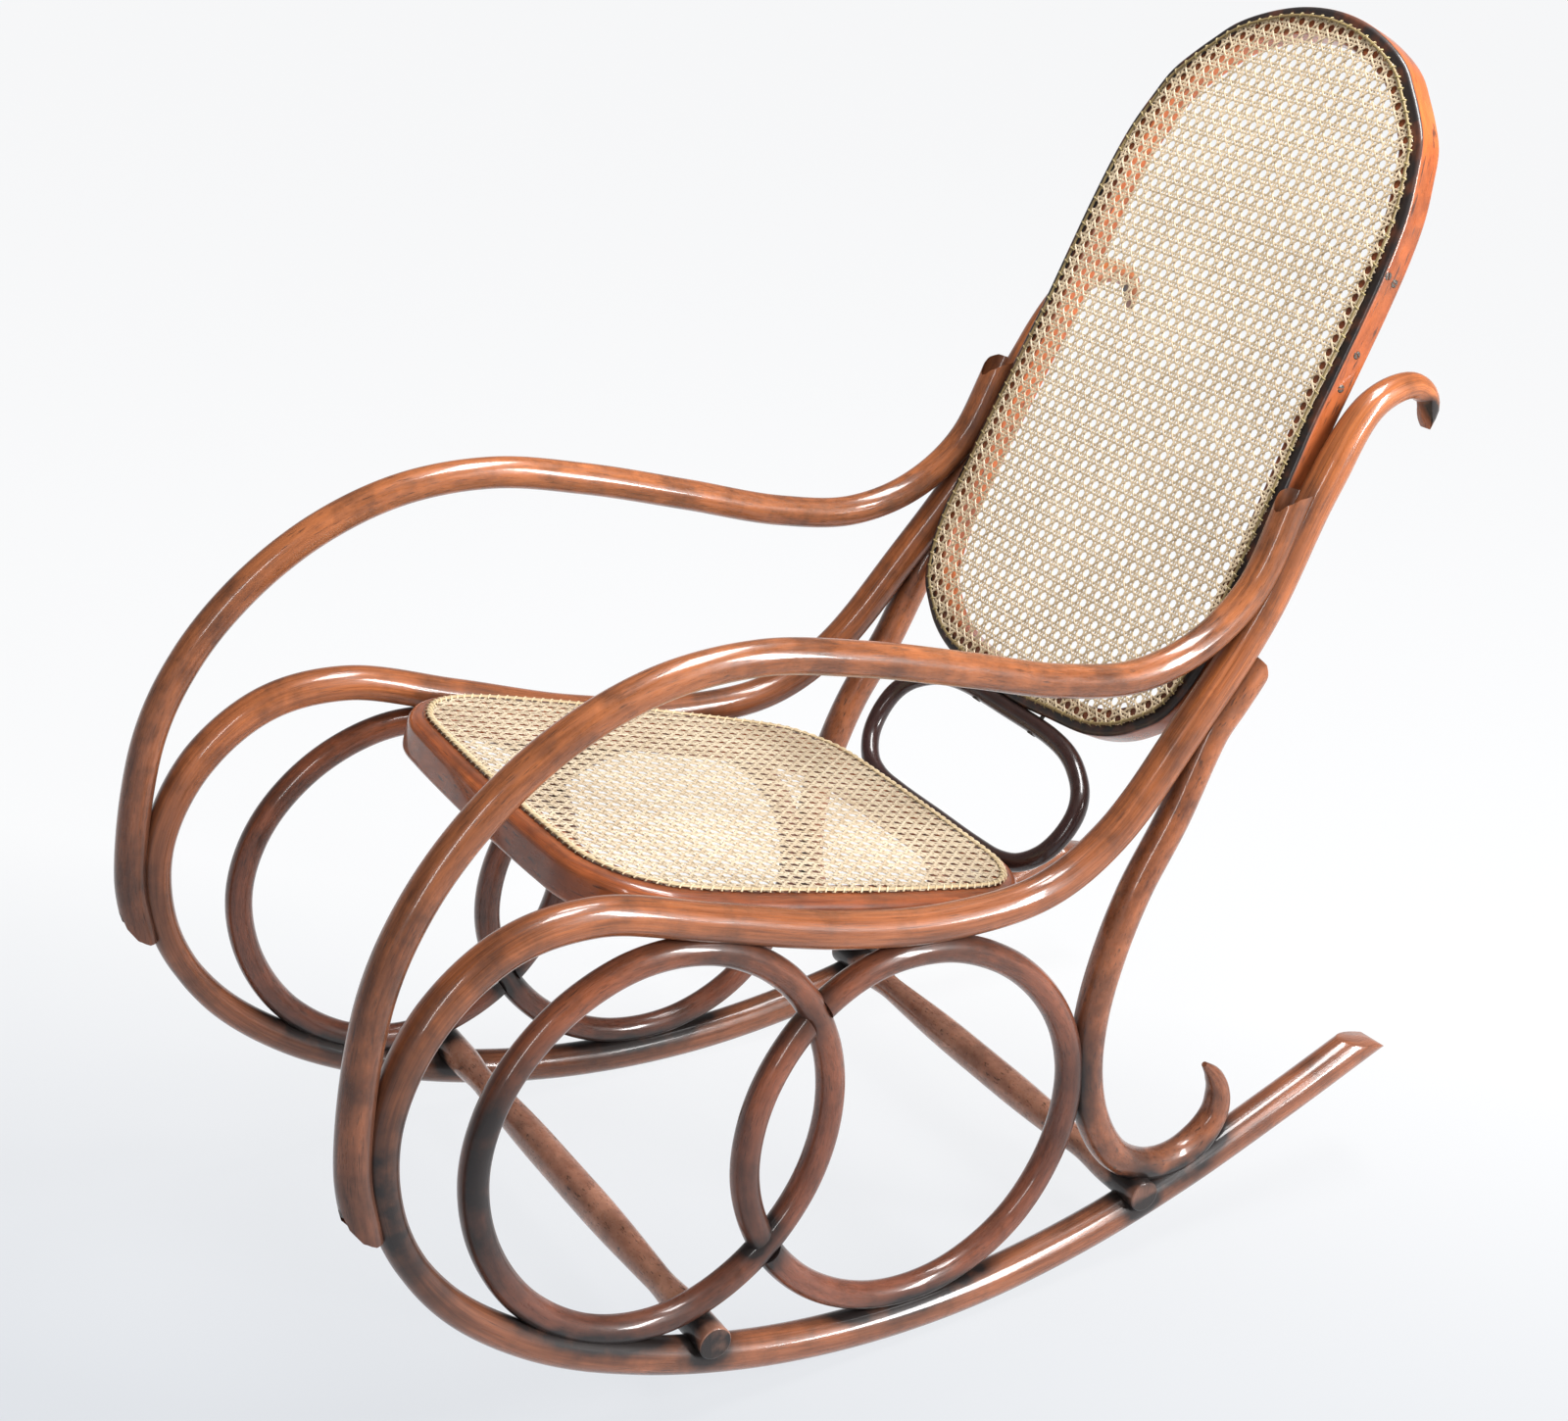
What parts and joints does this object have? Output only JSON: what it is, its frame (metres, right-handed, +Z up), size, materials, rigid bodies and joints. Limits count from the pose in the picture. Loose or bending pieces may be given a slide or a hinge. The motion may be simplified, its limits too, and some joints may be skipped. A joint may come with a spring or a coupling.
{
  "type": "rocking chair",
  "caption": "Bentwood rocking chair with curled side frames, open arms and a caned seat and back, which rocks on its curved runners.",
  "frame": {"origin": "on the floor, under the middle of the chair's overall bounding box", "axes": "+Z up, -Y the way the sitter faces, +X towards the sitter's left"},
  "size_m": [0.5354, 1.0614, 1.0337],
  "materials": {
    "bentwood": "glossy shellac, worn",
    "dark_bentwood": "glossy shellac, darkened",
    "cane": "natural, matte",
    "screw_iron": "dull"
  },
  "bodies": {
    "root": {"side_rail_left": "bentwood", "side_rail_right": "bentwood", "arm_left": "bentwood", "arm_right": "bentwood", "rear_leg_left": "bentwood", "rear_leg_right": "bentwood", "front_ring_left": "dark_bentwood", "front_ring_right": "dark_bentwood", "rear_ring_left": "dark_bentwood", "rear_ring_right": "dark_bentwood", "front_stretcher": "bentwood", "rear_stretcher": "bentwood", "seat_frame": "bentwood", "seat_cane": "cane", "seat_binding": "cane", "back_frame": "bentwood", "back_cane": "cane", "back_binding": "cane", "oval_ring": "dark_bentwood", "arm_screw_lower_left": "screw_iron", "arm_screw_lower_right": "screw_iron", "arm_screw_upper_left": "screw_iron", "arm_screw_upper_right": "screw_iron", "back_screw_1": "screw_iron", "back_screw_2": "screw_iron", "back_screw_3": "screw_iron", "back_screw_4": "screw_iron", "oval_screw_left": "screw_iron", "oval_screw_right": "screw_iron"}
  },
  "joints": []
}
